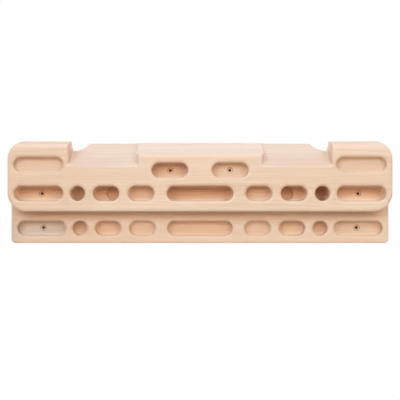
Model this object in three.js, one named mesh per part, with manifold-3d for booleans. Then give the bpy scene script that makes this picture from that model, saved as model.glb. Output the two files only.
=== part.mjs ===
// Hangboard for finger training: two layers of glued hardwood staves with finger pockets, slopers and end jugs.
// Millimetres. X runs along the board, the wall face is at Y = 0, the front faces -Y and Z points up.
// The origin is the middle of the wall face.
import * as THREE from "three";
import { mergeVertices } from "three/addons/utils/BufferGeometryUtils.js";
import Module from "manifold-3d";

const wasm = await Module();
wasm.setup();

// Boards. Sizes that follow the board's width or height are shares of it.
const boardWidth = 700;
const boardHeight = 188;
const rearThickness = 27.5;
const frontThickness = 27.5;
const frontBoardHeight = 0.684 * boardHeight;
const upperCornerRadius = 34;
const lowerCornerRadius = 8;
const frontEdgeRadius = 4.5;
const rearEdgeRadius = 4;

// Slopers and end blocks. Heights are above the board's lower edge.
const centreSloperWidth = 0.33 * boardWidth;
const centreCreaseHeight = 0.8617 * boardHeight;
const centreCreaseRadius = 6;
const sideSloperReach = 0.34 * boardWidth;
const sideCreaseHeight = 0.7447 * boardHeight;
const sideBackHeight = 0.9926 * boardHeight;
const sideCreaseRadius = 3;
const blockEdgeRadius = 5;
const bullnoseRadius = 16;
const jugFloorHeight = 0.9149 * boardHeight;
const jugRadius = 30;
const notchRadius = 30;
const notchInset = 4;

// Finger pockets
const pocketHeight = 27.5;
const mouthRadius = 4.5;
const floorRadius = 5;
const topEndPocketRise = 0.7686 * boardHeight;
const topMiddlePocketRise = 0.7154 * boardHeight;
const upperRowRise = 0.4894 * boardHeight;
const lowerRowRise = 0.1489 * boardHeight;
const endPocketReach = 0.42 * boardWidth;
const monoReach = 0.3186 * boardWidth;
const duoReach = 0.2443 * boardWidth;
const innerDuoReach = 0.1529 * boardWidth;
const topMiddleReach = 0.0786 * boardWidth;
const fourFingerWidth = 0.1286 * boardWidth;
const monoWidth = 27.5;
const duoWidth = 0.0686 * boardWidth;
const topMiddleWidth = 0.0943 * boardWidth;
const centreWidth = 0.1729 * boardWidth;
const topEndDepth = 12;
const topLeftDepth = 25;
const topRightDepth = 17;
const upperEndDepth = 31;
const upperMonoDepth = 37;
const upperDuoDepth = 32;
const duoWellDepth = 38;
const duoWellRadius = 13.2;
const upperInnerDuoDepth = 22;
const upperCentreDepth = 34;
const lowerEndDepth = 16;
const lowerMonoDepth = 20;
const lowerDuoDepth = 18;
const lowerInnerDuoDepth = 13;
const lowerCentreDepth = 17;

// Screw holes
const screwHoleRadius = 2;
const countersinkRadius = 5.6;
const countersinkDepth = 2.3;

// The staves' glue lines pass the pockets' straight walls by this much.
const glueClearance = 1;

// Cutters run past the wood by this much, and curves have this many steps.
const overrun = 10;
const endArcSteps = 10;
const mouthSteps = 3;
const floorSteps = 2;
const edgeSteps = 5;
const sweepSteps = 10;
const holeSteps = 20;

const boardDepth = rearThickness + frontThickness;
const frontFace = -boardDepth;
const layerPlane = -rearThickness;
const frontBoardFoot = boardHeight - frontBoardHeight;
const halfWidth = boardWidth / 2;
const centreReach = centreSloperWidth / 2;
const notchCentreReach = sideSloperReach - notchInset;
const pocketReach = pocketHeight / 2 + glueClearance;
const rearGlueLines = [
  lowerRowRise + pocketReach + mouthRadius,
  upperRowRise - pocketReach,
  upperRowRise + pocketReach,
  topMiddlePocketRise + pocketReach,
];
const frontGlueLines = [upperRowRise + pocketReach + mouthRadius, topEndPocketRise + pocketReach];

// A closed geometry becomes a solid once its vertices are shared.
function solidOf(geometry) {
  geometry.deleteAttribute("normal");
  geometry.deleteAttribute("uv");
  const merged = mergeVertices(geometry);
  return new wasm.Manifold(new wasm.Mesh({
    numProp: 3,
    vertProperties: new Float32Array(merged.attributes.position.array),
    triVerts: new Uint32Array(merged.index.array),
  }));
}

function geometryOf(solid) {
  const mesh = solid.getMesh();
  const geometry = new THREE.BufferGeometry();
  geometry.setAttribute("position", new THREE.BufferAttribute(mesh.vertProperties, 3));
  geometry.setIndex(new THREE.BufferAttribute(mesh.triVerts, 1));
  return geometry;
}

// A shape drawn in Y and Z, extruded along X from one reach to another.
function alongX(shape, fromX, toX) {
  const geometry = new THREE.ExtrudeGeometry(shape, {
    depth: toX - fromX,
    bevelEnabled: false,
    curveSegments: sweepSteps,
  });
  const axes = new THREE.Matrix4().makeBasis(
    new THREE.Vector3(0, 1, 0),
    new THREE.Vector3(0, 0, 1),
    new THREE.Vector3(1, 0, 0),
  );
  geometry.applyMatrix4(axes.setPosition(fromX, 0, 0));
  return solidOf(geometry);
}

// A shape drawn in X and Z, extruded along Y from one depth to another, with a rounded front edge if asked.
function alongY(shape, fromY, toY, edgeRadius = 0) {
  const rounded = edgeRadius > 0;
  const geometry = new THREE.ExtrudeGeometry(shape, {
    depth: toY - fromY - (rounded ? 2 * edgeRadius : 0),
    bevelEnabled: rounded,
    bevelThickness: edgeRadius,
    bevelSize: edgeRadius,
    bevelOffset: -edgeRadius,
    bevelSegments: edgeSteps,
    curveSegments: sweepSteps,
  });
  const axes = new THREE.Matrix4().makeBasis(
    new THREE.Vector3(1, 0, 0),
    new THREE.Vector3(0, 0, 1),
    new THREE.Vector3(0, -1, 0),
  );
  geometry.applyMatrix4(axes.setPosition(0, toY - (rounded ? edgeRadius : 0), 0));
  return solidOf(geometry);
}

function box(fromX, toX, fromY, toY, fromZ, toZ) {
  const geometry = new THREE.BoxGeometry(toX - fromX, toY - fromY, toZ - fromZ);
  geometry.translate((fromX + toX) / 2, (fromY + toY) / 2, (fromZ + toZ) / 2);
  return solidOf(geometry);
}

// The outline of a board seen from the front, with one radius at its upper corners and one at its lower ones.
function boardOutline(foot, footRadius) {
  const shape = new THREE.Shape();
  shape.absarc(halfWidth - footRadius, foot + footRadius, footRadius, -Math.PI / 2, 0);
  shape.absarc(halfWidth - upperCornerRadius, boardHeight - upperCornerRadius, upperCornerRadius, 0, Math.PI / 2);
  shape.absarc(upperCornerRadius - halfWidth, boardHeight - upperCornerRadius, upperCornerRadius, Math.PI / 2, Math.PI);
  shape.absarc(footRadius - halfWidth, foot + footRadius, footRadius, Math.PI, 1.5 * Math.PI);
  return shape;
}

// A slab of all that lies between two heights.
function slab(fromZ, toZ) {
  return box(-boardWidth, boardWidth, -2 * boardDepth, boardDepth, fromZ, toZ);
}

// An unmilled board, flat behind and rounded along its front edge up to a given height.
function boardBlank({ foot, footRadius, faceY, backY, edgeRadius, roundedTo }) {
  const outline = boardOutline(foot, footRadius);
  const behind = box(-boardWidth, boardWidth, backY, backY + boardDepth, -boardHeight, 2 * boardHeight);
  const rounded = alongY(outline, faceY, backY + edgeRadius + overrun, edgeRadius).subtract(behind);
  const square = alongY(outline, faceY, backY);
  return rounded.intersect(slab(-overrun, roundedTo)).add(square.intersect(slab(roundedTo, boardHeight + overrun)));
}

// What is milled off above a sloper. The slope meets the front face in a rounded crease.
function aboveSlope(creaseHeight, backHeight, creaseRadius) {
  const slope = Math.atan2(backHeight - creaseHeight, boardDepth);
  const turn = Math.PI / 2 - slope;
  const tangent = creaseRadius * Math.tan(turn / 2);
  const riseBehind = Math.tan(slope) * overrun;
  const shape = new THREE.Shape();
  shape.moveTo(frontFace - overrun, creaseHeight - tangent);
  shape.lineTo(frontFace, creaseHeight - tangent);
  shape.absarc(frontFace + creaseRadius, creaseHeight - tangent, creaseRadius, Math.PI, Math.PI - turn, true);
  shape.lineTo(overrun, backHeight + riseBehind);
  shape.lineTo(overrun, boardHeight + 2 * overrun);
  shape.lineTo(frontFace - overrun, boardHeight + 2 * overrun);
  return shape;
}

// A sloper's plan: straight end walls, flared where they meet the front face so that the block's edge is rounded.
function sloperPlan(fromX, toX) {
  const shape = new THREE.Shape();
  const flareEnd = frontFace + blockEdgeRadius;
  shape.moveTo(fromX - blockEdgeRadius, frontFace - overrun);
  shape.lineTo(toX + blockEdgeRadius, frontFace - overrun);
  shape.absarc(toX + blockEdgeRadius, flareEnd, blockEdgeRadius, -Math.PI / 2, -Math.PI, true);
  shape.lineTo(toX, overrun);
  shape.lineTo(fromX, overrun);
  shape.absarc(fromX - blockEdgeRadius, flareEnd, blockEdgeRadius, 0, -Math.PI / 2, true);
  return shape;
}

function planPrism(shape) {
  const geometry = new THREE.ExtrudeGeometry(shape, {
    depth: boardHeight + 2 * overrun,
    bevelEnabled: false,
    curveSegments: edgeSteps,
  });
  return solidOf(geometry);
}

function centreSloper() {
  const slope = aboveSlope(centreCreaseHeight, boardHeight, centreCreaseRadius);
  return alongX(slope, -centreReach - overrun, centreReach + overrun);
}

function sideSloper() {
  const slope = alongX(
    aboveSlope(sideCreaseHeight, sideBackHeight, sideCreaseRadius),
    centreReach - 2 * blockEdgeRadius,
    sideSloperReach + 2 * blockEdgeRadius,
  );
  return slope.intersect(planPrism(sloperPlan(centreReach, sideSloperReach)));
}

// The top of an end block: a bullnose in front, and the jug's hollow between the lip and the wall.
function endBlockTop() {
  const nose = new THREE.Shape();
  nose.moveTo(frontFace - overrun, boardHeight - bullnoseRadius);
  nose.lineTo(frontFace, boardHeight - bullnoseRadius);
  nose.absarc(frontFace + bullnoseRadius, boardHeight - bullnoseRadius, bullnoseRadius, Math.PI, Math.PI / 2, true);
  nose.lineTo(frontFace + bullnoseRadius, boardHeight + overrun);
  nose.lineTo(frontFace - overrun, boardHeight + overrun);
  const bullnose = alongX(nose, sideSloperReach - overrun, halfWidth + overrun);
  const hollow = new THREE.Shape();
  hollow.absarc(0, jugFloorHeight + jugRadius, jugRadius, 0, 2 * Math.PI);
  const jug = alongX(hollow, notchCentreReach, halfWidth + overrun);
  return bullnose.add(jug);
}

// The notch between a side sloper and the end block: round at its inner end and open to the wall.
function notch() {
  const shape = new THREE.Shape();
  const axisHeight = jugFloorHeight + notchRadius;
  shape.moveTo(sideSloperReach, jugFloorHeight);
  shape.lineTo(sideSloperReach, axisHeight);
  shape.lineTo(notchCentreReach - notchRadius, axisHeight);
  shape.absarc(notchCentreReach, axisHeight, notchRadius, Math.PI, 1.5 * Math.PI);
  return alongY(shape, frontFace - overrun, overrun);
}

// One ring of a pocket's cutter: a slot's outline round (x, z) at depth y.
function slotRing(x, y, z, straight, radius) {
  const points = [];
  const ends = [
    { middle: straight / 2, start: -Math.PI / 2 },
    { middle: -straight / 2, start: Math.PI / 2 },
  ];
  const last = straight > 0 ? endArcSteps : endArcSteps - 1;
  for (const end of ends) {
    for (let i = 0; i <= last; i++) {
      const angle = end.start + (Math.PI * i) / endArcSteps;
      points.push([x + end.middle + radius * Math.cos(angle), y, z + radius * Math.sin(angle)]);
    }
  }
  return points;
}

// A closed skin through rings that have equal numbers of points, from the front ring to the last.
function loft(rings) {
  const count = rings[0].length;
  const triangles = [];
  for (let r = 0; r + 1 < rings.length; r++) {
    for (let i = 0; i < count; i++) {
      const a = r * count + i;
      const b = r * count + ((i + 1) % count);
      triangles.push(a, a + count, b, b, a + count, b + count);
    }
  }
  const end = (rings.length - 1) * count;
  for (let i = 1; i + 1 < count; i++) {
    triangles.push(0, i, i + 1);
    triangles.push(end, end + i + 1, end + i);
  }
  const geometry = new THREE.BufferGeometry();
  geometry.setAttribute("position", new THREE.BufferAttribute(new Float32Array(rings.flat(2)), 3));
  geometry.setIndex(triangles);
  return solidOf(geometry);
}

// A finger pocket: rounded mouth, straight wall, rounded floor.
function pocket({ x, z, width, depth, face = frontFace }) {
  const radius = pocketHeight / 2;
  const straight = width - pocketHeight;
  const rings = [slotRing(x, face - overrun, z, straight, radius + mouthRadius)];
  for (let i = 0; i <= mouthSteps; i++) {
    const turn = (Math.PI / 2) * (i / mouthSteps);
    const flare = mouthRadius * (1 - Math.sin(turn));
    rings.push(slotRing(x, face + mouthRadius * (1 - Math.cos(turn)), z, straight, radius + flare));
  }
  for (let i = 0; i <= floorSteps; i++) {
    const turn = (Math.PI / 2) * (i / floorSteps);
    const inset = floorRadius * (1 - Math.cos(turn));
    const y = face + depth - floorRadius * (1 - Math.sin(turn));
    rings.push(slotRing(x, y, z, straight, radius - inset));
  }
  return loft(rings);
}

// A solid of revolution whose axis runs along Y, from radii and depths listed from front to back.
function turned(x, z, profile) {
  const points = profile.map(([radius, depth]) => new THREE.Vector2(radius, depth));
  const geometry = new THREE.LatheGeometry(points, holeSteps);
  geometry.translate(x, 0, z);
  return solidOf(geometry);
}

function screwHole(x, z, floorY) {
  return turned(x, z, [
    [0, floorY - overrun],
    [countersinkRadius, floorY - overrun],
    [countersinkRadius, floorY],
    [screwHoleRadius, floorY + countersinkDepth],
    [screwHoleRadius, overrun],
    [0, overrun],
  ]);
}

// The deeper well at the inner end of an upper two-finger pocket.
function duoWell(x, z) {
  return turned(x, z, [
    [0, frontFace + mouthRadius],
    [duoWellRadius, frontFace + mouthRadius],
    [duoWellRadius, frontFace + duoWellDepth],
    [0, frontFace + duoWellDepth],
  ]);
}

// Pockets left and right of the middle, listed once.
const pairedPockets = [
  { x: endPocketReach, z: topEndPocketRise, width: fourFingerWidth, depth: topEndDepth },
  { x: endPocketReach, z: upperRowRise, width: fourFingerWidth, depth: upperEndDepth, screw: true },
  { x: monoReach, z: upperRowRise, width: monoWidth, depth: upperMonoDepth },
  { x: duoReach, z: upperRowRise, width: duoWidth, depth: upperDuoDepth, well: true },
  { x: innerDuoReach, z: upperRowRise, width: duoWidth, depth: upperInnerDuoDepth },
  { x: endPocketReach, z: lowerRowRise, width: fourFingerWidth, depth: lowerEndDepth, face: layerPlane, screw: true },
  { x: monoReach, z: lowerRowRise, width: monoWidth, depth: lowerMonoDepth, face: layerPlane },
  { x: duoReach, z: lowerRowRise, width: duoWidth, depth: lowerDuoDepth, face: layerPlane },
  { x: innerDuoReach, z: lowerRowRise, width: duoWidth, depth: lowerInnerDuoDepth, face: layerPlane },
];

// Pockets that stand by themselves: the two at the top, which differ in depth, and the two in the middle.
const topMiddle = { z: topMiddlePocketRise, width: topMiddleWidth, screw: true };
const singlePockets = [
  { ...topMiddle, x: -topMiddleReach, depth: topLeftDepth },
  { ...topMiddle, x: topMiddleReach, depth: topRightDepth },
  { x: 0, z: upperRowRise, width: centreWidth, depth: upperCentreDepth },
  { x: 0, z: lowerRowRise, width: centreWidth, depth: lowerCentreDepth, face: layerPlane },
];

// A pocket and the screw hole or well in its floor.
function pocketForms(one) {
  const forms = [pocket(one)];
  if (one.screw) forms.push(screwHole(one.x, one.z, (one.face ?? frontFace) + one.depth));
  if (one.well) forms.push(duoWell(one.x - (Math.sign(one.x) * (duoWidth - pocketHeight)) / 2, one.z));
  return forms;
}

// Everything that is milled out of one half of the board, for the right side or mirrored for the left.
function halfMilling(side) {
  const forms = pairedPockets.flatMap((one) => pocketForms({ ...one, x: side * one.x }));
  for (const form of [sideSloper(), endBlockTop(), notch()]) {
    forms.push(side > 0 ? form : form.mirror([1, 0, 0]));
  }
  return forms;
}

const milling = [
  ...halfMilling(1),
  ...halfMilling(-1),
  ...singlePockets.flatMap(pocketForms),
  centreSloper(),
].reduce((all, form) => all.add(form));

// A board's staves, from the lowest up: glued edge to edge, then milled.
function staves(blank, foot, glueLines) {
  const milled = blank.subtract(milling);
  const tops = [...glueLines, boardHeight];
  return tops.map((top, i) => milled.intersect(slab(i > 0 ? tops[i - 1] : foot, top)));
}

const wood = { roughness: 0.62, metalness: 0 };
// The rear board's edge is rounded only on the two lowest staves, which the front board leaves bare.
const rearBlank = boardBlank({
  foot: 0,
  footRadius: lowerCornerRadius,
  faceY: layerPlane,
  backY: 0,
  edgeRadius: rearEdgeRadius,
  roundedTo: rearGlueLines[1],
});
const frontBlank = boardBlank({
  foot: frontBoardFoot,
  footRadius: upperCornerRadius,
  faceY: frontFace,
  backY: layerPlane,
  edgeRadius: frontEdgeRadius,
  roundedTo: boardHeight,
});

const board = new THREE.Group();
board.position.z = -boardHeight / 2;
const layers = [
  { name: "rear_stave", pieces: staves(rearBlank, 0, rearGlueLines), color: 0xe3c3a3 },
  { name: "front_stave", pieces: staves(frontBlank, frontBoardFoot, frontGlueLines), color: 0xecccae },
];
for (const { name, pieces, color } of layers) {
  pieces.forEach((piece, i) => {
    const mesh = new THREE.Mesh(geometryOf(piece), new THREE.MeshStandardMaterial({ color, ...wood }));
    mesh.name = `${name}_${i + 1}`;
    board.add(mesh);
  });
}

const hangboard = new THREE.Group();
hangboard.add(board);
export default hangboard;
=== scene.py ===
"""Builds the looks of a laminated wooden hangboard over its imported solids, and the plain studio around it."""

import math

import bpy
from bpy.props import FloatProperty, FloatVectorProperty, IntProperty, PointerProperty
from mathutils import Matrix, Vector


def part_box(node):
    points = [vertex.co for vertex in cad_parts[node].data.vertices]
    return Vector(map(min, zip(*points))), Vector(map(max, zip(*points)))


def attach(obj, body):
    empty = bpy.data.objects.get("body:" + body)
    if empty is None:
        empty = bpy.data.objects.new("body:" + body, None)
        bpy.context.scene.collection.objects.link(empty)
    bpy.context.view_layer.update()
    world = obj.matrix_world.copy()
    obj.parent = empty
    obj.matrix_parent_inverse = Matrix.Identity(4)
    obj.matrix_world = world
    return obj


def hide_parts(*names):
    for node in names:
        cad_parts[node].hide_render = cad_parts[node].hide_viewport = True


bl_info = {
    "name": "Hangboard",
    "version": (1, 0, 0),
    "blender": (4, 5, 0),
    "location": "3D View > Sidebar > Hangboard",
    "description": "Builds a laminated wooden hangboard, its wood and a plain studio around it",
    "category": "Object",
}

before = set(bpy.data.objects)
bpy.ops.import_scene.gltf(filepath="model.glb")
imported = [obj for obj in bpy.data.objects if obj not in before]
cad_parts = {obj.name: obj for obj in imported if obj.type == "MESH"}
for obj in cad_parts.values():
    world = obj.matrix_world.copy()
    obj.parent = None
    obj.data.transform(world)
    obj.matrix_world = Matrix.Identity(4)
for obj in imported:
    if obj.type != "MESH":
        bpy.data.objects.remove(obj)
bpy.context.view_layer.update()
origin_height = -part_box("rear_stave_1")[0].z


class BoardSizes(bpy.types.PropertyGroup):
    """Sizes of the two glued boards. Heights are above the lower edge."""

    width: FloatProperty(name="Width", description="Left to right", default=0.700, unit="LENGTH")
    height: FloatProperty(name="Height", description="Bottom to top", default=0.188, unit="LENGTH")
    rear_thickness: FloatProperty(
        name="Rear thickness", description="Thickness of the board against the wall",
        default=0.0275, unit="LENGTH",
    )
    front_thickness: FloatProperty(
        name="Front thickness", description="Thickness of the board in front",
        default=0.0275, unit="LENGTH",
    )
    front_foot: FloatProperty(
        name="Front board's foot", description="Height at which the front board begins",
        default=0.05941, unit="LENGTH",
    )
    upper_corner: FloatProperty(
        name="Upper corner radius",
        description="Radius of the front board's corners and of the rear board's upper ones",
        default=0.034, unit="LENGTH",
    )
    lower_corner: FloatProperty(
        name="Lower corner radius", description="Radius of the rear board's lower corners",
        default=0.008, unit="LENGTH",
    )
    front_edge: FloatProperty(
        name="Front edge width", description="Width of the rounding round the front board's face",
        default=0.0050, unit="LENGTH",
    )
    rear_edge: FloatProperty(
        name="Rear edge width",
        description="Width of the rounding round the rear board's face where it is bare",
        default=0.0042, unit="LENGTH",
    )
    edge_turn: FloatProperty(
        name="Edge turn",
        description="How far the rounding of the edges turns from the face towards the side",
        default=math.radians(56.0), unit="ROTATION",
    )


class TopSizes(bpy.types.PropertyGroup):
    """Sizes of the slopers, jugs and notches. Heights are above the lower edge."""

    centre_reach: FloatProperty(
        name="Centre sloper reach", description="From the middle to the end of the centre sloper",
        default=0.1155, unit="LENGTH",
    )
    centre_crease: FloatProperty(
        name="Centre crease", description="Height at which the centre sloper meets the front face",
        default=0.162, unit="LENGTH",
    )
    centre_round: FloatProperty(
        name="Centre crease rounding",
        description="How far the centre crease's rounding reaches down the front face",
        default=0.004, unit="LENGTH",
    )
    side_reach: FloatProperty(
        name="Side sloper reach", description="From the middle to the outer end of a side sloper",
        default=0.238, unit="LENGTH",
    )
    side_crease: FloatProperty(
        name="Side crease", description="Height at which a side sloper meets the front face",
        default=0.140, unit="LENGTH",
    )
    side_back: FloatProperty(
        name="Side sloper's back", description="Height of a side sloper at the wall",
        default=0.1866, unit="LENGTH",
    )
    side_round: FloatProperty(
        name="Side crease rounding",
        description="How far a side crease's rounding reaches down the front face",
        default=0.0014, unit="LENGTH",
    )
    block_edge: FloatProperty(
        name="End block edge",
        description="Rounding of the edge between a side sloper's end wall and the front face",
        default=0.0075, unit="LENGTH",
    )
    slope_fillet: FloatProperty(
        name="Side sloper fillet",
        description="Rounding of the inner corners between a side sloper and its end walls",
        default=0.0060, unit="LENGTH",
    )
    bullnose: FloatProperty(
        name="Bullnose radius", description="Rounding of an end block's upper front edge",
        default=0.016, unit="LENGTH",
    )
    jug_floor: FloatProperty(
        name="Jug floor", description="Height of the jug's and the notch's lowest point",
        default=0.172, unit="LENGTH",
    )
    jug_radius: FloatProperty(
        name="Jug radius", description="Radius of the jug's hollow and of the notch",
        default=0.030, unit="LENGTH",
    )
    notch_reach: FloatProperty(
        name="Notch reach", description="From the middle to the notch's lowest point",
        default=0.234, unit="LENGTH",
    )


class PocketSizes(bpy.types.PropertyGroup):
    """Sizes that all the finger pockets and screw holes share."""

    height: FloatProperty(
        name="Pocket height", description="Height of every pocket", default=0.0275, unit="LENGTH"
    )
    mouth: FloatProperty(
        name="Mouth width", description="Width of the rounding round a pocket's mouth",
        default=0.0054, unit="LENGTH",
    )
    mouth_turn: FloatProperty(
        name="Mouth turn",
        description="How far the mouth's rounding turns from the face towards the wall",
        default=math.radians(52.0), unit="ROTATION",
    )
    floor: FloatProperty(
        name="Floor radius", description="Rounding between a pocket's wall and floor",
        default=0.005, unit="LENGTH",
    )
    well: FloatProperty(
        name="Well radius",
        description="Radius of the well at the inner end of an upper two-finger pocket",
        default=0.0132, unit="LENGTH",
    )
    well_floor: FloatProperty(
        name="Well floor radius", description="Rounding between the well's wall and floor",
        default=0.0012, unit="LENGTH",
    )
    well_depth: FloatProperty(
        name="Well depth", description="Depth of the well below the front face",
        default=0.038, unit="LENGTH",
    )
    screw: FloatProperty(
        name="Screw hole radius", description="Radius of a screw hole", default=0.002, unit="LENGTH"
    )
    sink: FloatProperty(
        name="Countersink radius", description="Radius of a screw hole's countersink",
        default=0.0056, unit="LENGTH",
    )
    # Painted shade: a dark ring in the countersink round each screw hole.
    shade_ring_width: FloatProperty(
        name="Painted shade ring", description="Width of the dark ring round a screw hole, in its countersink",
        default=0.0006, unit="LENGTH",
    )
    rim: FloatProperty(
        name="Countersink rim",
        description="Width of the steep rim that the cutter leaves round a countersink",
        default=0.0007, unit="LENGTH",
    )
    sink_depth: FloatProperty(
        name="Countersink depth", description="Depth of the countersink below the pocket's floor",
        default=0.0023, unit="LENGTH",
    )
    # The web closes each screw hole so that its end, painted dark, stands for the shade of the wall behind.
    web: FloatProperty(
        name="Web", description="Thickness of the web that closes a screw hole near the wall face",
        default=0.0008, unit="LENGTH",
    )
    recess: FloatProperty(
        name="Recess", description="Depth of a screw hole's end behind the web",
        default=0.0016, unit="LENGTH",
    )
    steps: IntProperty(
        name="Arc steps", description="Steps in a quarter of a pocket's end", default=16, min=4
    )


def tint(name, place, default):
    """A property for what the wood's colour is multiplied by in some place."""
    return FloatVectorProperty(
        name=name, description="What the wood's colour is multiplied by " + place,
        default=default, subtype="COLOR", size=3, min=0.0, max=2.0,
    )


class WoodLook(bpy.types.PropertyGroup):
    """Colours and grain of the wood, and its tints, most of them painted light or sheen."""

    pale: FloatVectorProperty(
        name="Pale wood", description="Colour of the early wood",
        default=(0.70, 0.47, 0.312), subtype="COLOR", size=3, min=0.0, max=1.0,
    )
    warm: FloatVectorProperty(
        name="Warm wood", description="Colour of the warmer streaks",
        default=(0.64, 0.39, 0.241), subtype="COLOR", size=3, min=0.0, max=1.0,
    )
    ring: FloatVectorProperty(
        name="Late wood", description="Colour of the growth rings' dark lines",
        default=(0.50, 0.29, 0.17), subtype="COLOR", size=3, min=0.0, max=1.0,
    )
    ring_width: FloatProperty(
        name="Ring width", description="Distance from one growth ring to the next",
        default=0.0032, unit="LENGTH",
    )
    ring_strength: FloatProperty(
        name="Ring strength", description="How strongly the growth rings show",
        default=0.24, min=0.0, max=1.0, subtype="FACTOR",
    )
    end_tint: tint("End grain", "on end grain", (0.95, 0.91, 0.90))
    # Painted sheen where the wood faces up, as light from above leaves it, with some paler, dustier milled wood
    # in it too.
    painted_sheen_and_dust_tint: tint("Slopes", "where it faces up", (1.07, 1.085, 1.145))
    # Painted bounce light: the wood is made warmer and lighter deep in the pockets.
    milled_tint: tint("Milled wood", "deep in a pocket", (1.11, 1.045, 1.0))
    # Painted light: the end walls of the middle row's pockets are made much lighter and bluer.
    painted_wall_light_tint: tint("Pocket ends", "on the end walls of the middle row's pockets", (1.16, 1.30, 1.38))
    # Painted light: lighter and bluer deep in the outermost pockets, over the painted bounce light.
    painted_outer_light_tint: tint("Outer pockets", "as well, deep in the outermost pockets", (1.09, 1.19, 1.23))
    # Painted light: lighter and bluer deep in the middle row's left one-finger pocket.
    left_single_painted_light_tint: tint(
        "Left one-finger pocket", "in the middle row's left one-finger pocket", (1.02, 1.12, 1.28)
    )
    right_single_tint: tint(
        "Right one-finger pocket", "in the middle row's right one-finger pocket", (0.76, 0.68, 0.68)
    )
    # Greyer and bluer deep in the lower left end pocket.
    stain_tint: tint("Greyer pocket", "in the lower left end pocket", (0.90, 0.99, 1.13))
    # Darker at the far left end of the lowest stave.
    worn_tint: tint("Darker left end", "at the lower left end", (0.90, 0.92, 0.95))
    roughness: FloatProperty(
        name="Roughness", description="Mean roughness of the sanded surface",
        default=0.58, min=0.0, max=1.0, subtype="FACTOR",
    )


class StageLook(bpy.types.PropertyGroup):
    """Camera, lights and floor."""

    camera_distance: FloatProperty(
        name="Camera distance", description="From the wall face to the camera",
        default=1.305, unit="LENGTH",
    )
    camera_height: FloatProperty(
        name="Camera height", description="Height of the camera above the middle of the board",
        default=-0.014, unit="LENGTH",
    )
    lens: FloatProperty(
        name="Lens", description="Focal length on a 36 mm sensor", default=0.062, unit="CAMERA"
    )
    floor_height: FloatProperty(
        name="Floor height", description="Height of the floor, below the middle of the board",
        default=-0.60, unit="LENGTH",
    )
    lamp_power: FloatProperty(
        name="Lamps", description="Power of a lamp of strength one", default=10.0, unit="POWER"
    )
    sky: FloatProperty(
        name="Surrounding light", description="Strength of the even light from all sides",
        default=0.02, min=0.0,
    )


class Pocket:
    """One finger pocket of the right half, or one that stands alone. Metres, heights above the lower edge."""

    def __init__(self, x, z, width, depth, screw=False, well=False, alone=False):
        self.x = x
        self.z = z
        self.width = width
        self.depth = depth
        self.screw = screw
        self.well = well
        self.alone = alone


FRONT_POCKETS = (
    Pocket(0.294, 0.1445, 0.0900, 0.012),
    Pocket(-0.055, 0.1345, 0.0660, 0.025, screw=True, alone=True),
    Pocket(0.055, 0.1345, 0.0660, 0.017, screw=True, alone=True),
    Pocket(0.294, 0.092, 0.0900, 0.031, screw=True),
    Pocket(0.223, 0.092, 0.0275, 0.037),
    Pocket(0.171, 0.092, 0.0480, 0.032, well=True),
    Pocket(0.107, 0.092, 0.0480, 0.022),
    Pocket(0.0, 0.092, 0.1210, 0.034, alone=True),
)
REAR_POCKETS = (
    Pocket(0.294, 0.028, 0.0900, 0.016, screw=True),
    Pocket(0.223, 0.028, 0.0275, 0.020),
    Pocket(0.171, 0.028, 0.0480, 0.018),
    Pocket(0.107, 0.028, 0.0480, 0.013),
    Pocket(0.0, 0.028, 0.1210, 0.017, alone=True),
)

# Cutters run past the wood by the overrun, and slabs reach beyond its ends. Points as close as the next are
# one, and a face still counts as part of a hole when it is off by the slack.
OVERRUN = 0.010
BEYOND = 1.0
CLOSE = 1e-6
SLACK = 0.0001

# Steps in one arc.
MOUTH_STEPS = 8
FLOOR_STEPS = 6
CREASE_STEPS = 8
CORNER_STEPS = 20
NOTCH_STEPS = 24
WELL_FLOOR_STEPS = 3

# Steps in a full turn.
JUG_STEPS = 96
WELL_STEPS = 48
SCREW_STEPS = 32

# Faces that meet at less than this angle are shaded as one.
SMOOTH_ANGLE = math.radians(32)


def select_only(*pieces):
    """Selects these objects alone and makes the last one active."""
    bpy.ops.object.select_all(action="DESELECT")
    for piece in pieces:
        piece.select_set(True)
    bpy.context.view_layer.objects.active = pieces[-1]


def pick(piece, kind, test):
    """Enters edit mode with only the vertices, edges or faces selected whose points all pass the test."""
    bpy.ops.object.mode_set(mode="EDIT")
    bpy.ops.mesh.select_mode(type=kind)
    bpy.ops.mesh.select_all(action="DESELECT")
    bpy.ops.object.mode_set(mode="OBJECT")
    mesh = piece.data
    if kind == "VERT":
        for vertex in mesh.vertices:
            vertex.select = test([vertex.co])
    else:
        parts = mesh.edges if kind == "EDGE" else mesh.polygons
        for part in parts:
            part.select = test([mesh.vertices[i].co for i in part.vertices])
    bpy.ops.object.mode_set(mode="EDIT")


def weld(distance=CLOSE):
    """Joins points that lie on each other and leaves all selected."""
    bpy.ops.mesh.select_all(action="SELECT")
    bpy.ops.mesh.remove_doubles(threshold=distance)


def round_off(kind, radius, steps):
    """Rounds the selected corners or edges."""
    bpy.ops.mesh.bevel(offset=radius, segments=steps, affect=kind, clamp_overlap=False)


def settle(piece, recalculate=False):
    """Leaves edit mode, with faces outward if asked, and puts the piece's place into its mesh."""
    if recalculate:
        bpy.ops.object.mode_set(mode="EDIT")
        weld(CLOSE / 10)
        bpy.ops.mesh.normals_make_consistent(inside=False)
    bpy.ops.object.mode_set(mode="OBJECT")
    select_only(piece)
    bpy.ops.object.transform_apply(location=True, rotation=True, scale=True)
    return piece


def up(height):
    """Turns a height above the lower edge into the frame's Z."""
    return height - origin_height


def extrude(x, y, z):
    """Extrudes the selected face."""
    bpy.ops.mesh.extrude_region_move(TRANSFORM_OT_translate={"value": (x, y, z)})


def push(distance):
    """Extrudes the selected face along Y."""
    extrude(0.0, distance, 0.0)


def step_in(inwards, distance):
    """Insets the selected face and moves the inner face along Y."""
    bpy.ops.mesh.inset(thickness=inwards, depth=0.0, use_even_offset=True)
    bpy.ops.transform.translate(value=(0.0, distance, 0.0))


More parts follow.
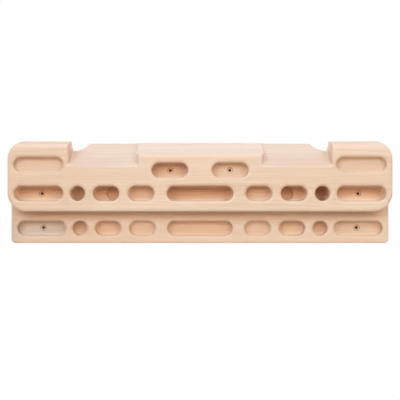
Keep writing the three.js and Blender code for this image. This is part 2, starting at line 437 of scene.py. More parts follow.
def slot_face(width, height, radius, steps):
    """A flat slot with round corners, facing along Y, in edit mode with its face selected."""
    bpy.ops.object.select_all(action="DESELECT")
    bpy.ops.mesh.primitive_plane_add(size=1.0, rotation=(math.pi / 2, 0.0, 0.0))
    piece = bpy.context.object
    bpy.ops.object.transform_apply(location=True, rotation=True, scale=True)
    bpy.ops.object.mode_set(mode="EDIT")
    bpy.ops.mesh.select_mode(type="VERT")
    bpy.ops.mesh.select_all(action="SELECT")
    bpy.ops.transform.resize(value=(width, 1.0, height))
    round_off("VERTICES", radius, steps)
    weld()
    bpy.ops.mesh.select_mode(type="FACE")
    bpy.ops.mesh.select_all(action="SELECT")
    return piece


def rounding(radius, turn, steps):
    """Steps of an arc, as pairs of moves across and along."""
    turns = [turn * i / steps for i in range(steps + 1)]
    return [
        (radius * (math.sin(b) - math.sin(a)), radius * (math.cos(a) - math.cos(b)))
        for a, b in zip(turns, turns[1:])
    ]


def pocket_cutter(pocket, sizes, face):
    """The form of a pocket: rounded mouth, straight wall and rounded floor."""
    wide = 2 * sizes.mouth
    height = sizes.height + wide
    piece = slot_face(pocket.width + wide, height, height / 2, sizes.steps)
    bpy.ops.transform.translate(value=(pocket.x, face - OVERRUN, up(pocket.z)))
    push(OVERRUN)
    radius = sizes.mouth / math.sin(sizes.mouth_turn)
    for across, along in rounding(radius, sizes.mouth_turn, MOUTH_STEPS):
        step_in(across, along)
    lip = radius * (1.0 - math.cos(sizes.mouth_turn))
    push(pocket.depth - lip - sizes.floor)
    for along, across in rounding(sizes.floor, math.pi / 2, FLOOR_STEPS):
        step_in(across, along)
    return settle(piece, recalculate=True)


def disc(radius, steps, x, y, z):
    """A flat disc that faces along Y, in edit mode with its face selected."""
    bpy.ops.object.select_all(action="DESELECT")
    bpy.ops.mesh.primitive_circle_add(
        vertices=steps, radius=radius, fill_type="NGON", location=(x, y, z), rotation=(math.pi / 2, 0.0, 0.0)
    )
    piece = settle(bpy.context.object)
    pick(piece, "FACE", lambda points: True)
    return piece


def well_cutter(pocket, sizes, face):
    """The round well at the inner end of a two-finger pocket."""
    middle = pocket.x - (pocket.width - sizes.height) / 2
    piece = disc(sizes.well, WELL_STEPS, middle, face + sizes.mouth, up(pocket.z))
    push(sizes.well_depth - sizes.mouth - sizes.well_floor)
    for along, across in rounding(sizes.well_floor, math.pi / 2, WELL_FLOOR_STEPS):
        step_in(across, along)
    return settle(piece, recalculate=True)


def screw_cutter(pocket, sizes, face):
    """A countersunk screw hole, from a pocket's floor to the web near the wall face."""
    floor = face + pocket.depth
    piece = disc(sizes.sink, SCREW_STEPS, pocket.x, floor - sizes.mouth, up(pocket.z))
    push(sizes.mouth)
    step_in(sizes.rim, sizes.rim)
    cone = sizes.sink - sizes.screw - sizes.rim
    slope = (sizes.sink_depth - sizes.rim) / cone
    step_in(cone - sizes.shade_ring_width, (cone - sizes.shade_ring_width) * slope)
    # The last band of the cone carries the ring of painted shade.
    step_in(sizes.shade_ring_width, sizes.shade_ring_width * slope)
    push(-floor - sizes.sink_depth - sizes.web - sizes.recess)
    return settle(piece, recalculate=True)


def screw_end(pocket, sizes):
    """The end of a screw hole in the wall face, behind the web."""
    piece = disc(sizes.screw, SCREW_STEPS, pocket.x, -sizes.recess, up(pocket.z))
    push(sizes.recess + OVERRUN)
    return settle(piece, recalculate=True)


def profile_bar(points, start, end, radius):
    """A bar along X whose section is a polygon in Y and Z, with its third corner rounded."""
    bpy.ops.object.select_all(action="DESELECT")
    bpy.ops.mesh.primitive_circle_add(
        vertices=len(points), radius=1.0, fill_type="NGON", rotation=(0.0, math.pi / 2, 0.0)
    )
    piece = settle(bpy.context.object)
    for number, (y, z) in enumerate(points):
        place = piece.data.vertices[number].co.copy()
        pick(piece, "VERT", lambda found: (found[0] - place).length < CLOSE)
        bpy.ops.transform.translate(value=(start - place.x, y - place.y, z - place.z))
        bpy.ops.object.mode_set(mode="OBJECT")
    y, z = points[2]
    pick(piece, "VERT", lambda found: abs(found[0].y - y) + abs(found[0].z - z) < CLOSE)
    round_off("VERTICES", radius, CREASE_STEPS)
    weld()
    bpy.ops.object.mode_set(mode="OBJECT")
    pick(piece, "FACE", lambda found: True)
    extrude(end - start, 0.0, 0.0)
    return settle(piece, recalculate=True)


def block(name, low, high):
    """A plain block between two corners."""
    bpy.ops.object.select_all(action="DESELECT")
    bpy.ops.mesh.primitive_cube_add(
        size=1.0, location=[(a + b) / 2 for a, b in zip(low, high)],
        scale=[b - a for a, b in zip(low, high)],
    )
    piece = bpy.context.object
    piece.name = name
    return settle(piece)


def board_blank(name, board, foot, foot_radius, front, back, edge):
    """An unmilled board: round corners, flat behind, with its front edge rounded if asked."""
    half = board.width / 2
    edge_radius = edge / math.sin(board.edge_turn)
    shoulder = front + edge_radius * (1.0 - math.cos(board.edge_turn))
    piece = block(name, (-half, shoulder, up(foot)), (half, back, up(board.height)))
    for height, radius in ((board.height, board.upper_corner), (foot, foot_radius)):
        pick(
            piece, "EDGE", lambda found: abs(found[0].y - found[1].y) > CLOSE
            and all(abs(p.z - up(height)) < CLOSE for p in found)
        )
        round_off("EDGES", radius, CORNER_STEPS)
        bpy.ops.object.mode_set(mode="OBJECT")
    if edge > 0.0:
        pick(piece, "FACE", lambda found: all(abs(p.y - shoulder) < CLOSE for p in found))
        for across, along in reversed(rounding(edge_radius, board.edge_turn, MOUTH_STEPS)):
            step_in(across, -along)
    return settle(piece, recalculate=True)


def mirrored(piece):
    """A copy on the other side of the middle."""
    select_only(piece)
    bpy.ops.object.duplicate(linked=False)
    copy = bpy.context.object
    bpy.ops.object.mode_set(mode="EDIT")
    bpy.ops.mesh.select_all(action="SELECT")
    bpy.ops.transform.resize(value=(-1.0, 1.0, 1.0), center_override=(0.0, 0.0, 0.0))
    return settle(copy, recalculate=True)


def combined(piece, other, operation):
    """Cuts another form out of a piece, or leaves only what the two share."""
    select_only(piece)
    bpy.ops.object.modifier_add(type="BOOLEAN")
    modifier = piece.modifiers[-1]
    modifier.operation = operation
    modifier.solver = "EXACT"
    modifier.object = other
    bpy.ops.object.modifier_apply(modifier=modifier.name)
    return piece


def joined(pieces):
    """Makes one object of several."""
    select_only(*pieces)
    bpy.ops.object.join()
    return bpy.context.object


def discard(pieces):
    """Deletes helper objects and their meshes."""
    for piece in pieces:
        mesh = piece.data
        bpy.data.objects.remove(piece)
        bpy.data.meshes.remove(mesh)


def span(piece):
    """The heights that a piece reaches from and to."""
    heights = [vertex.co.z for vertex in piece.data.vertices]
    return min(heights), max(heights)


def stave(board_piece, name, low, high, cutters):
    """The part of a board between two glue lines, milled and with clean shading."""
    select_only(board_piece)
    bpy.ops.object.duplicate(linked=False)
    piece = bpy.context.object
    piece.name = name
    piece.data.name = name
    slab = block("slab", (-BEYOND, -BEYOND, low), (BEYOND, BEYOND, high))
    combined(piece, slab, "INTERSECT")
    discard([slab])
    for cutter in cutters:
        bottom, top = span(cutter)
        if bottom < high and top > low:
            combined(piece, cutter, "DIFFERENCE")
    select_only(piece)
    bpy.ops.object.shade_smooth_by_angle(angle=SMOOTH_ANGLE)
    bpy.ops.object.modifier_add(type="WEIGHTED_NORMAL")
    modifier = piece.modifiers[-1]
    modifier.keep_sharp = True
    modifier.weight = 100
    bpy.ops.object.modifier_apply(modifier=modifier.name)
    return piece


def fit(piece, node):
    """Makes a piece stand for a solid of the frame."""
    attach(piece, "root")
    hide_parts(node)


def both_sides(forms):
    """The forms of the right side and their mirrored copies, as one cutter."""
    return joined(forms + [mirrored(form) for form in forms])


def pocket_cutters(rows, sizes):
    """Cutters for pockets and for the holes in their floors.

    Each row is a pair: its pockets and the face that they start from.
    """
    pockets = []
    holes = []
    for row, face in rows:
        for pocket in row:
            forms = [(pockets, pocket_cutter(pocket, sizes, face))]
            if pocket.screw:
                forms.append((holes, screw_cutter(pocket, sizes, face)))
                forms.append((holes, screw_end(pocket, sizes)))
            if pocket.well:
                forms.append((holes, well_cutter(pocket, sizes, face)))
            for group, form in forms:
                group.append(form)
                if not pocket.alone:
                    group.append(mirrored(form))
    return [joined(pockets), joined(holes)]


def screw_axes():
    """The places of the screw holes, as X and Z."""
    places = []
    for pocket in FRONT_POCKETS + REAR_POCKETS:
        if pocket.screw:
            sides = (1,) if pocket.alone else (1, -1)
            places += [(side * pocket.x, up(pocket.z)) for side in sides]
    return places


def paint_hole_shade(piece, sizes):
    """Gives the screw holes' walls, ends and the ring round them the second material, a painted shade, and the
    countersinks' rims the third, a line of painted shade.
    """
    axes = screw_axes()
    rim = (sizes.sink - sizes.rim - SLACK, sizes.sink + SLACK)
    bore = (0.0, sizes.screw + sizes.shade_ring_width + SLACK)
    for index, (low, high) in ((1, bore), (2, rim)):

        def round_a_hole(points):
            """Whether all the points lie in the ring round one of the holes."""
            return any(all(low < math.hypot(p.x - x, p.z - z) < high for p in points) for x, z in axes)

        pick(piece, "FACE", round_a_hole)
        piece.active_material_index = index
        bpy.ops.object.material_slot_assign()
        bpy.ops.object.mode_set(mode="OBJECT")


def feed(tree, socket, value):
    """Gives a socket another node's output, a colour or a number."""
    if isinstance(value, bpy.types.NodeSocket):
        tree.links.new(value, socket)
    elif isinstance(value, tuple):
        socket.default_value = (*value, 1.0)
    else:
        socket.default_value = value


def maths(tree, operation, *values, clamp=False):
    """A Math node fed by sockets or numbers; returns its output."""
    node = tree.nodes.new("ShaderNodeMath")
    node.operation = operation
    node.use_clamp = clamp
    for socket, value in zip(node.inputs, values):
        feed(tree, socket, value)
    return node.outputs[0]


def product(tree, first, *others):
    """Shares multiplied together."""
    for other in others:
        first = maths(tree, "MULTIPLY", first, other)
    return first


def rest(tree, share):
    """What a share leaves of the whole."""
    return maths(tree, "SUBTRACT", 1.0, share)


def stretched(tree, coordinates, scale, offset=(0.0, 0.0, 0.0)):
    """Coordinates scaled along the grain and across it."""
    node = tree.nodes.new("ShaderNodeMapping")
    node.inputs["Scale"].default_value = scale
    node.inputs["Location"].default_value = offset
    feed(tree, node.inputs["Vector"], coordinates)
    return node.outputs[0]


def noise(tree, vector, detail=2.0):
    """Soft noise with one bump to each unit of the coordinates."""
    node = tree.nodes.new("ShaderNodeTexNoise")
    node.inputs["Scale"].default_value = 1.0
    node.inputs["Detail"].default_value = detail
    node.inputs["Roughness"].default_value = 0.5
    feed(tree, node.inputs["Vector"], vector)
    return node.outputs["Fac"]


def ranged(tree, value, low, high, to_low, to_high):
    """A value's range turned into another one, and held within it."""
    node = tree.nodes.new("ShaderNodeMapRange")
    feed(tree, node.inputs["Value"], value)
    for name, limit in (("From Min", low), ("From Max", high), ("To Min", to_low), ("To Max", to_high)):
        node.inputs[name].default_value = limit
    return node.outputs[0]


def ramp(tree, value, start, full):
    """The share that grows from none at the start to the whole where it is full, upwards or downwards."""
    return ranged(tree, value, start, full, 0.0, 1.0)


def blended(tree, share, first, second, kind="MIX"):
    """Mixes two colours, given as sockets or triples."""
    node = tree.nodes.new("ShaderNodeMix")
    node.data_type = "RGBA"
    node.blend_type = kind
    for number, value in ((0, share), (6, first), (7, second)):
        feed(tree, node.inputs[number], value)
    return node.outputs[2]


def axes_of(tree, vector):
    """The X, Y and Z of a vector."""
    node = tree.nodes.new("ShaderNodeSeparateXYZ")
    feed(tree, node.inputs[0], vector)
    return node.outputs["X"], node.outputs["Y"], node.outputs["Z"]


class Log:
    """The log that a stave was sawn from.

    Its heart lies behind the wall face and above the middle of the board by these lengths. Its tone is the
    share of warm wood, its pockets' depth counts from the start, and the one with its last flag set is greyer
    deep in its lower left end pocket and darker at its far left end.
    """

    def __init__(self, behind, above, tone, start, greyer_left=False):
        self.behind = behind
        self.above = above
        self.tone = tone
        self.start = start
        self.greyer_left = greyer_left


FRONT_FACE = -0.0550
LOGS = {
    "front_stave_1": Log(0.060, 0.055, 0.52, FRONT_FACE),
    "front_stave_2": Log(0.020, -0.120, 0.62, FRONT_FACE),
    "front_stave_3": Log(0.090, 0.020, 0.42, FRONT_FACE),
    "rear_stave_1": Log(0.070, 0.090, 0.36, -0.0340, greyer_left=True),
    "rear_stave_2": Log(0.030, 0.110, 0.40, -0.0275),
    "rear_stave_3": Log(0.080, -0.060, 0.26, FRONT_FACE),
    "rear_stave_4": Log(0.040, -0.100, 0.45, FRONT_FACE),
    "rear_stave_5": Log(0.100, 0.070, 0.50, FRONT_FACE),
}

# Where each tint of the wood starts and where it is full. Above and below are heights above the lower edge,
# aside is to the left or right of the middle, deep is behind the start of a log's pockets, and turned is a
# part of the surface's normal.
# Most of these masks place painted light: the sheen on the slopes and lighter wood deep in the pockets.
SHEEN_ABOVE = (0.134, 0.138)
SHEEN_TURNED = (0.15, 0.45)
MIDDLE_ROW_ABOVE = (0.070, 0.074)
MIDDLE_ROW_BELOW = (0.114, 0.110)
LOWER_ROW_ABOVE = (0.010, 0.0135)
ROWS_ASIDE = (0.345, 0.342)
CLEAR_ASIDE = (0.344, 0.3405)
CLEAR_OF_WALL = (-0.003, -0.006)
ENDS_TURNED = (0.45, 0.95)
WALLS_TURNED = (0.45, 0.85)
WALLS_DEEP = (0.003, 0.009)
BOUNCE_LIGHT_DEEP = (0.008, 0.032)
BOUNCE_LIGHT_SHALLOW = (0.008, 0.022)
OUTER_ASIDE = (0.245, 0.262)
OUTER_FLOORS = (-0.016, -0.010)
SINGLE_ASIDE = (0.2055, 0.2085)
SINGLE_NEARER = (0.2405, 0.2375)
SINGLE_DEEP = (0.004, 0.010)
GREY_POCKET_LEFT = (-0.235, -0.262)
GREY_POCKET_DEEP = (0.008, 0.014)
DARKER_LEFT_END = (-0.325, -0.345)


def tinted_regions(tree, place, normal, log):
    """The share of each tint of the look at a point of a stave's surface, by the tint's name."""
    # Most of these tints are painted light: a sheen where the wood faces up, and lighter, warmer or bluer wood
    # deep in the pockets.
    x, y, z = axes_of(tree, place)
    sideways, _, upwards = axes_of(tree, normal)
    across = maths(tree, "ABSOLUTE", sideways)
    aside = maths(tree, "ABSOLUTE", x)
    deep = maths(tree, "SUBTRACT", y, log.start)

    def height(limits):
        """The share between two heights above the lower edge."""
        return ramp(tree, z, *map(up, limits))

    above = height(MIDDLE_ROW_ABOVE)
    middle_row = product(tree, ramp(tree, aside, *ROWS_ASIDE), above, height(MIDDLE_ROW_BELOW))
    clear = product(tree, ramp(tree, y, *CLEAR_OF_WALL), ramp(tree, aside, *CLEAR_ASIDE))
    clear = product(tree, clear, height(LOWER_ROW_ABOVE))
    # The share of painted light on the end walls of the middle row's pockets.
    wall = product(tree, ramp(tree, across, *WALLS_TURNED), middle_row, ramp(tree, deep, *WALLS_DEEP))
    end = product(tree, ramp(tree, across, *ENDS_TURNED), rest(tree, middle_row))
    # Painted sheen, with a little paler wood, on surfaces that face up above the slopers' crease height.
    slope = product(tree, ramp(tree, upwards, *SHEEN_TURNED), height(SHEEN_ABOVE))
    outer = ramp(tree, aside, *OUTER_ASIDE)
    outer_floors = product(tree, ramp(tree, y, *OUTER_FLOORS), outer)
    plain = product(tree, rest(tree, slope), rest(tree, end), rest(tree, outer_floors))
    # The share of painted bounce light deep in the pockets, kept clear of their ends and the slopes.
    if log.start == FRONT_FACE:
        milled = product(tree, ramp(tree, deep, *BOUNCE_LIGHT_DEEP), above, clear, plain)
    else:
        milled = product(tree, ramp(tree, deep, *BOUNCE_LIGHT_SHALLOW), clear, plain)
    # The deep part of the middle row's one-finger pockets: painted light in the left one, darker in the right
    # one.
    single = product(tree, ramp(tree, aside, *SINGLE_ASIDE), ramp(tree, aside, *SINGLE_NEARER))
    single = product(tree, single, ramp(tree, deep, *SINGLE_DEEP), middle_row, clear, rest(tree, wall))
    right = maths(tree, "GREATER_THAN", x, 0.0)
    shares = {
        "painted_wall_light_tint": wall,
        "end_tint": end,
        "painted_sheen_and_dust_tint": slope,
        "milled_tint": milled,
        "painted_outer_light_tint": product(tree, outer, milled),
        "left_single_painted_light_tint": product(tree, single, rest(tree, right)),
        "right_single_tint": product(tree, single, right),
    }
    # Greyer and bluer deep in the lower left end pocket, and darker at the far left end.
    if log.greyer_left:
        stain = product(tree, ramp(tree, x, *GREY_POCKET_LEFT), ramp(tree, deep, *GREY_POCKET_DEEP))
        shares["stain_tint"] = product(tree, stain, clear)
        shares["worn_tint"] = ramp(tree, x, *DARKER_LEFT_END)
    return shares


# Bumps of each noise in a metre along X, Y and Z, and the range that holds most of a noise.
FIBRES = (14.0, 700.0, 700.0)
STREAKS = (3.0, 120.0, 120.0)
PATCHES = (2.2, 14.0, 14.0)
WARP = (1.6, 9.0, 9.0)
MOST = (0.3, 0.7)

# A log's slant, as X's part in the distance from its heart, how far its rings are warped, and where in a ring
# the late wood starts and is darkest.
SLANT = 0.02
RING_WARP = 0.030
LATE = (0.55, 0.95)

# What patches, streaks and the left end, from here to there, add to the wood's warmth.
PATCH_WARMTH = 0.40
STREAK_WARMTH = 0.28
LEFT_WARMTH = 0.55
WARM_LEFT = (-0.16, -0.35)

# Where and by how much fibres shade the colour, what they add to the roughness, and how high they stand with
# the rings' part in it.
FIBRE_RANGE = (0.35, 0.65)
FIBRE_SHADES = (0.95, 1.03)
FIBRE_ROUGHNESS = (-0.07, 0.09)
FIBRE_HEIGHT = 0.0002
RING_HEIGHT = 0.3


def late_wood(tree, place, seed, log, ring_width):
    """The share of late wood: the dark ends of growth rings, round the log's heart and a little warped."""
    warp = noise(tree, stretched(tree, place, WARP, (seed * 3.1, 0.0, seed)))
    from_heart = stretched(tree, place, (SLANT, 1.0, 1.0), (0.0, -log.behind, -log.above))
    distance = tree.nodes.new("ShaderNodeVectorMath")
    distance.operation = "LENGTH"
    feed(tree, distance.inputs[0], from_heart)
    bent = maths(tree, "ADD", distance.outputs["Value"], product(tree, warp, RING_WARP))
    phase = maths(tree, "FRACT", maths(tree, "DIVIDE", bent, ring_width))
    return product(tree, ramp(tree, phase, *LATE), ramp(tree, phase, 1.0, LATE[1]))


def wood(name, seed, log, look):
    """Pale sanded wood with growth rings, fibres and soft patches, painted light in its pockets and a sheen."""
    material = bpy.data.materials.new(name)
    material.use_nodes = True
    tree = material.node_tree
    shader = tree.nodes["Principled BSDF"]
    coordinates = tree.nodes.new("ShaderNodeTexCoord")
    place = coordinates.outputs["Object"]

    line = late_wood(tree, place, seed, log, look.ring_width)
    fibres = noise(tree, stretched(tree, place, FIBRES, (seed, 0.0, 0.0)), detail=3.0)
    streaks = noise(tree, stretched(tree, place, STREAKS, (0.0, seed, 0.0)), detail=3.0)
    patches = noise(tree, stretched(tree, place, PATCHES, (0.0, 0.0, seed * 1.7)), detail=1.5)

    left = ramp(tree, axes_of(tree, place)[0], *WARM_LEFT)
    warmth = ranged(tree, patches, *MOST, -PATCH_WARMTH, PATCH_WARMTH)
    warmth = maths(tree, "ADD", warmth, log.tone)
    warmth = maths(tree, "ADD", warmth, product(tree, left, LEFT_WARMTH))
    streaks = ranged(tree, streaks, *MOST, -STREAK_WARMTH, STREAK_WARMTH)
    warmth = maths(tree, "ADD", warmth, streaks, clamp=True)
    colour = blended(tree, warmth, tuple(look.pale), tuple(look.warm))
    colour = blended(tree, product(tree, line, look.ring_strength), colour, tuple(look.ring))
    # Painted light, painted sheen and the plain tints multiply the colour here.
    regions = tinted_regions(tree, place, coordinates.outputs["Normal"], log)
    for region, share in regions.items():
        colour = blended(tree, share, colour, tuple(getattr(look, region)), kind="MULTIPLY")
    specks = tree.nodes.new("ShaderNodeVectorMath")
    specks.operation = "SCALE"
    feed(tree, specks.inputs[0], colour)
    feed(tree, specks.inputs["Scale"], ranged(tree, fibres, *FIBRE_RANGE, *FIBRE_SHADES))
    feed(tree, shader.inputs["Base Color"], specks.outputs[0])

    rough = ranged(tree, fibres, *MOST, *(look.roughness + change for change in FIBRE_ROUGHNESS))
    feed(tree, shader.inputs["Roughness"], rough)
    bump = tree.nodes.new("ShaderNodeBump")
    bump.inputs["Strength"].default_value = 0.25
    bump.inputs["Distance"].default_value = FIBRE_HEIGHT
    relief = maths(tree, "SUBTRACT", fibres, product(tree, line, RING_HEIGHT))
    feed(tree, bump.inputs["Height"], relief)
    feed(tree, shader.inputs["Normal"], bump.outputs[0])
    return material


def mottled(name, scale, dark, light, roughness):
    """A matt material that wanders between two colours, made once."""
    material = bpy.data.materials.get(name)
    if material:
        return material
    material = bpy.data.materials.new(name)
    material.use_nodes = True
    tree = material.node_tree
    shader = tree.nodes["Principled BSDF"]
    place = tree.nodes.new("ShaderNodeTexCoord").outputs["Object"]
    share = ramp(tree, noise(tree, stretched(tree, place, scale)), *MOST)
    feed(tree, shader.inputs["Base Color"], blended(tree, share, dark, light))
    shader.inputs["Roughness"].default_value = roughness
    return material


# Painted shade for the screw holes, dark for their walls and ends and a lighter brown line for their
# countersinks' rims: name, scale, darkest and lightest colour, roughness.
HOLE_PAINTED_SHADE = (
    ("bored_wood", (900.0, 250.0, 900.0), (0.10, 0.045, 0.022), (0.17, 0.08, 0.04), 0.7),
    ("rubbed_wood", (900.0, 250.0, 900.0), (0.26, 0.13, 0.07), (0.34, 0.18, 0.10), 0.7),
)
FLOOR_PAINT = ("floor_paint", (1.5, 1.5, 1.5), (0.84, 0.78, 0.70), (0.87, 0.81, 0.73), 0.8)


def centre_sloper_cutter(board, top, front):
    """What is milled off above the centre sloper, whose crease with the front face is rounded."""
    crease, back = up(top.centre_crease), up(board.height)
    rise = (back - crease) / -front
    section = (
        (front - OVERRUN, crease - top.centre_round),
        (front, crease - top.centre_round),
        (front, crease),
        (OVERRUN, back + rise * OVERRUN),
        (OVERRUN, back + 2 * OVERRUN),
        (front - OVERRUN, back + 2 * OVERRUN),
    )
    end = top.centre_reach + OVERRUN
    return profile_bar(section, -end, end, top.centre_round)


def side_sloper_cutter(board, top, front):
    """What is milled off above a side sloper: a slope whose filleted end walls flare out at the front."""
    middle = (top.centre_reach + top.side_reach) / 2
    width = top.side_reach - top.centre_reach
    tall = board.height - top.side_crease + 3 * OVERRUN
    rise = (top.side_back - top.side_crease) / -front
    turn = math.pi / 2 - math.atan(rise)
    radius = top.side_round / math.tan(turn / 2)

    def height_at(gap):
        """Height of the slope this far behind the front face, with its rounded crease."""
        if gap > radius * (1.0 - math.cos(turn)):
            return top.side_crease + rise * gap
        return top.side_crease - top.side_round + math.sqrt(radius**2 - (radius - gap) ** 2)

    def width_at(gap):
        """Width of the slope this far behind the front face, with the flare of its walls."""
        short = max(top.block_edge - gap, 0.0)
        return width + 2 * (top.block_edge - math.sqrt(top.block_edge**2 - short**2))

    edge = [math.sin(math.pi / 2 * i / MOUTH_STEPS) for i in range(MOUTH_STEPS)]
    crease = [math.cos(turn * i / CREASE_STEPS) for i in range(CREASE_STEPS + 1)]
    gaps = {top.block_edge * (1.0 - part) for part in edge}
    gaps |= {radius * (1.0 - part) for part in crease}
    bar = slot_face(width, tall, top.slope_fillet, MOUTH_STEPS)
    gap = OVERRUN - front
    bpy.ops.transform.translate(value=(middle, front + gap, up(height_at(gap) + tall / 2)))
    for nearer in sorted(gaps, reverse=True):
        extrude(0.0, nearer - gap, height_at(nearer) - height_at(gap))
        flare = width_at(nearer) / width_at(gap)
        bpy.ops.transform.resize(value=(flare, 1.0, 1.0), center_override=(middle, 0.0, 0.0))
        gap = nearer
    push(-OVERRUN)
    return settle(bar, recalculate=True)


def bullnose_cutter(board, top, front):
    """What is rounded off an end block's upper front edge."""
    height = up(board.height)
    radius = top.bullnose
    section = (
        (front - OVERRUN, height - radius),
        (front, height - radius),
        (front, height),
        (front + radius, height),
        (front + radius, height + OVERRUN),
        (front - OVERRUN, height + OVERRUN),
    )
    return profile_bar(section, top.side_reach - OVERRUN, board.width / 2 + OVERRUN, radius)


def jug_cutter(board, top):
    """The hollow behind a jug's lip, round about a line on the wall face."""
    bpy.ops.object.select_all(action="DESELECT")
    end = board.width / 2 + OVERRUN
    bpy.ops.mesh.primitive_cylinder_add(
        vertices=JUG_STEPS, radius=top.jug_radius, depth=end - top.notch_reach,
        location=((end + top.notch_reach) / 2, 0.0, up(top.jug_floor) + top.jug_radius),
        rotation=(0.0, math.pi / 2, 0.0),
    )
    return settle(bpy.context.object, recalculate=True)


def notch_cutter(top, front):
    """The notch between a side sloper and the end block, round at its inner end."""
    start = top.notch_reach - top.jug_radius
    floor = up(top.jug_floor)
    high = (top.side_reach, OVERRUN, floor + top.jug_radius + OVERRUN)
    piece = block("notch", (start, front - OVERRUN, floor), high)
    pick(piece, "EDGE", lambda found: all(abs(p.x - start) + abs(p.z - floor) < CLOSE for p in found))
    round_off("EDGES", top.jug_radius, NOTCH_STEPS)
    return settle(piece, recalculate=True)


def top_cutters(board, top):
    """Cutters for the slopers, the end blocks' bullnoses, the jugs and the notches."""
    front = -board.rear_thickness - board.front_thickness
    centre = centre_sloper_cutter(board, top, front)
    right = (
        side_sloper_cutter(board, top, front),
        bullnose_cutter(board, top, front),
        jug_cutter(board, top),
        notch_cutter(top, front),
    )
    return [centre] + [both_sides([form]) for form in right]


def finished_staves(board_piece, nodes, scene, rows):
    """Saws a board into its staves, mills them and gives each its wood."""
    cutters = top_cutters(scene.board_sizes, scene.top_sizes)
    cutters += pocket_cutters(rows, scene.pocket_sizes)
    for node in nodes:
        low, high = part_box(node)
        piece = stave(board_piece, node + "_milled", low.z, high.z, cutters)
        seed = list(LOGS).index(node)
        piece.data.materials.clear()
        piece.data.materials.append(wood(node + "_wood", seed, LOGS[node], scene.wood_look))
        # The second and third materials are the screw holes' painted shade.
        for hole_shade in HOLE_PAINTED_SHADE:
            piece.data.materials.append(mottled(*hole_shade))
        paint_hole_shade(piece, scene.pocket_sizes)
        fit(piece, node)
    discard(cutters + [board_piece])


class HANGBOARD_OT_rear_board(bpy.types.Operator):
    """Build the five staves of the board against the wall"""

    bl_idname = "hangboard.rear_board"
    bl_label = "Rear board"

    def execute(self, context):
        scene = context.scene
        board = scene.board_sizes
        layer = -board.rear_thickness
        front = layer - board.front_thickness
        deep = [
            one for one in FRONT_POCKETS if one.depth > board.front_thickness or one.screw or one.well
        ]
        for edge, nodes, rows in (
            (board.rear_edge, ("rear_stave_1", "rear_stave_2"), [(REAR_POCKETS, layer)]),
            (0.0, ("rear_stave_3", "rear_stave_4", "rear_stave_5"), [(deep, front)]),
        ):
            piece = board_blank("rear board", board, 0.0, board.lower_corner, layer, 0.0, edge)
            finished_staves(piece, nodes, scene, rows)
        return {"FINISHED"}


class HANGBOARD_OT_front_board(bpy.types.Operator):
    """Build the three staves of the board in front"""

    bl_idname = "hangboard.front_board"
    bl_label = "Front board"

    def execute(self, context):
        scene = context.scene
        board = scene.board_sizes
        layer = -board.rear_thickness
        front = layer - board.front_thickness
        foot, corner, edge = board.front_foot, board.upper_corner, board.front_edge
        piece = board_blank("front board", board, foot, corner, front, layer, edge)
        nodes = ("front_stave_1", "front_stave_2", "front_stave_3")
        finished_staves(piece, nodes, scene, [(FRONT_POCKETS, front)])
        return {"FINISHED"}


# The floor's width and depth, and how far its middle lies behind the wall face.
FLOOR_SIZE = (3.6, 2.2)
FLOOR_MIDDLE = -0.6

# Each lamp's name, distance, angles above the floor and to the right, width, height and colour.
LAMPS = (
    ("low light", 1.7, 15.0, 0.0, 2.0, 0.36, (0.80, 0.59, 0.45)),
    ("low left light", 1.8, 15.0, -35.0, 0.8, 0.36, (0.42, 0.31, 0.24)),
    ("low right light", 1.8, 15.0, 35.0, 0.8, 0.36, (0.42, 0.31, 0.24)),
    ("left key light", 1.6, 27.0, -32.0, 1.2, 0.50, (0.45, 0.92, 1.24)),
    ("right key light", 1.6, 27.0, 32.0, 1.2, 0.50, (0.38, 0.68, 0.80)),
    ("upper light", 1.5, 36.0, 0.0, 2.4, 0.40, (0.50, 0.60, 0.66)),
    ("high light", 1.5, 50.0, 0.0, 2.4, 0.50, (0.30, 0.33, 0.53)),
    ("top light", 1.4, 68.0, 0.0, 2.4, 0.50, (0.52, 0.70, 0.98)),
    ("left light", 1.5, 25.0, -62.0, 1.0, 0.90, (0.11, 0.10, 0.14)),
    ("right light", 1.5, 25.0, 62.0, 1.0, 0.90, (0.08, 0.06, 0.06)),
    ("back light", 1.2, 45.0, 180.0, 2.0, 0.60, (0.98, 1.06, 1.24)),
    ("left end light", 1.5, 12.0, -100.0, 1.0, 0.90, (0.66, 0.70, 0.76)),
    ("right end light", 1.5, 12.0, 100.0, 1.0, 0.90, (0.66, 0.70, 0.76)),
    ("rear light", 1.6, 10.0, 180.0, 2.4, 0.60, (1.45, 1.50, 1.58)),
)


def softbox(name, distance, elevation, side, width, height, colour, power):
    """A soft lamp aimed at the middle of the board."""
    rise, turn = math.radians(elevation), math.radians(side)
    reach = distance * math.cos(rise)
    bpy.ops.object.light_add(
        type="AREA",
        location=(reach * math.sin(turn), -reach * math.cos(turn), distance * math.sin(rise)),
        rotation=(math.pi / 2 - rise, 0.0, turn),
    )
    lamp = bpy.context.object
    lamp.name = name
    lamp.visible_camera = False
    lamp.data.shape = "RECTANGLE"
    lamp.data.size, lamp.data.size_y = width, height
    lamp.data.energy = power
    lamp.data.color = colour


def studio_floor(height):
    """A wide plain floor below the board."""
    bpy.ops.object.select_all(action="DESELECT")
    bpy.ops.mesh.primitive_plane_add(size=1.0)
    floor = bpy.context.object
    floor.name = "floor"
    floor.data.name = "floor"
    bpy.ops.object.mode_set(mode="EDIT")
    bpy.ops.mesh.select_all(action="SELECT")
    bpy.ops.transform.resize(value=(*FLOOR_SIZE, 1.0))
    bpy.ops.transform.translate(value=(0.0, FLOOR_MIDDLE, height))
    bpy.ops.object.mode_set(mode="OBJECT")
    floor.data.materials.append(mottled(*FLOOR_PAINT))


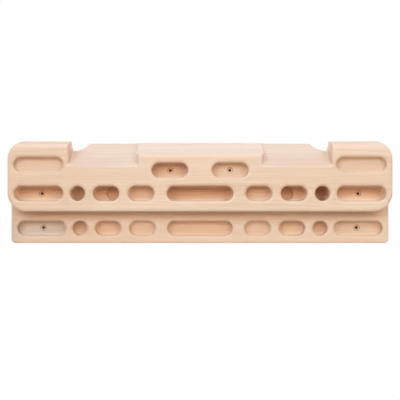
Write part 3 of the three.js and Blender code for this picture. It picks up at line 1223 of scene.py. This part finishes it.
def studio_air(strength):
    """A world that looks white and lights the board only a little."""
    world = bpy.data.worlds.new("studio")
    world.use_nodes = True
    tree = world.node_tree
    tree.nodes.clear()
    output = tree.nodes.new("ShaderNodeOutputWorld")
    mix = tree.nodes.new("ShaderNodeMixShader")
    path = tree.nodes.new("ShaderNodeLightPath")
    lit = tree.nodes.new("ShaderNodeBackground")
    seen = tree.nodes.new("ShaderNodeBackground")
    lit.inputs["Strength"].default_value = strength
    for background in (lit, seen):
        background.inputs["Color"].default_value = (1.0, 1.0, 1.0, 1.0)
    for source, target in (
        (path.outputs["Is Camera Ray"], mix.inputs[0]),
        (lit.outputs[0], mix.inputs[1]),
        (seen.outputs[0], mix.inputs[2]),
        (mix.outputs[0], output.inputs[0]),
    ):
        feed(tree, target, source)
    return world


def studio_camera(look):
    """The camera in front of the board."""
    data = bpy.data.cameras.new("camera")
    camera = bpy.data.objects.new("camera", data)
    data.sensor_width = 36.0
    data.lens = look.lens * 1000.0
    camera.location = (0.0, -look.camera_distance, look.camera_height)
    camera.rotation_euler = (math.pi / 2, 0.0, 0.0)
    return camera


class HANGBOARD_OT_stage(bpy.types.Operator):
    """Place the floor, the lights and the camera"""

    bl_idname = "hangboard.stage"
    bl_label = "Stage"

    def execute(self, context):
        scene = context.scene
        look = scene.stage_look
        studio_floor(look.floor_height)
        for lamp in LAMPS:
            softbox(*lamp, look.lamp_power)
        scene.world = studio_air(look.sky)
        scene.camera = studio_camera(look)
        scene.collection.objects.link(scene.camera)
        scene.view_settings.view_transform = "Standard"
        scene.view_settings.look = "None"
        return {"FINISHED"}


class HANGBOARD_PT_panel(bpy.types.Panel):
    """Sizes, wood and stage of the hangboard"""

    bl_idname = "HANGBOARD_PT_panel"
    bl_label = "Hangboard"
    bl_space_type = "VIEW_3D"
    bl_region_type = "UI"
    bl_category = "Hangboard"

    def draw(self, context):
        layout = self.layout
        scene = context.scene
        for name, (title, group) in GROUPS.items():
            layout.label(text=title)
            for size in group.__annotations__:
                layout.prop(getattr(scene, name), size)
        for operator in OPERATORS:
            layout.operator(operator.bl_idname)


OPERATORS = (HANGBOARD_OT_rear_board, HANGBOARD_OT_front_board, HANGBOARD_OT_stage)
GROUPS = {
    "board_sizes": ("Boards", BoardSizes),
    "top_sizes": ("Slopers and jugs", TopSizes),
    "pocket_sizes": ("Pockets", PocketSizes),
    "wood_look": ("Wood", WoodLook),
    "stage_look": ("Stage", StageLook),
}
CLASSES = tuple(group for _, group in GROUPS.values()) + OPERATORS + (HANGBOARD_PT_panel,)


def register():
    """Registers the classes and gives the scene its groups of sizes and colours."""
    for one in CLASSES:
        bpy.utils.register_class(one)
    for name, (_, group) in GROUPS.items():
        setattr(bpy.types.Scene, name, PointerProperty(type=group))


def unregister():
    """Takes all of it back."""
    for name in GROUPS:
        delattr(bpy.types.Scene, name)
    for one in reversed(CLASSES):
        bpy.utils.unregister_class(one)


def main():
    """Builds the board and the stage."""
    register()
    bpy.ops.hangboard.rear_board()
    bpy.ops.hangboard.front_board()
    bpy.ops.hangboard.stage()


if __name__ == "__main__":
    main()
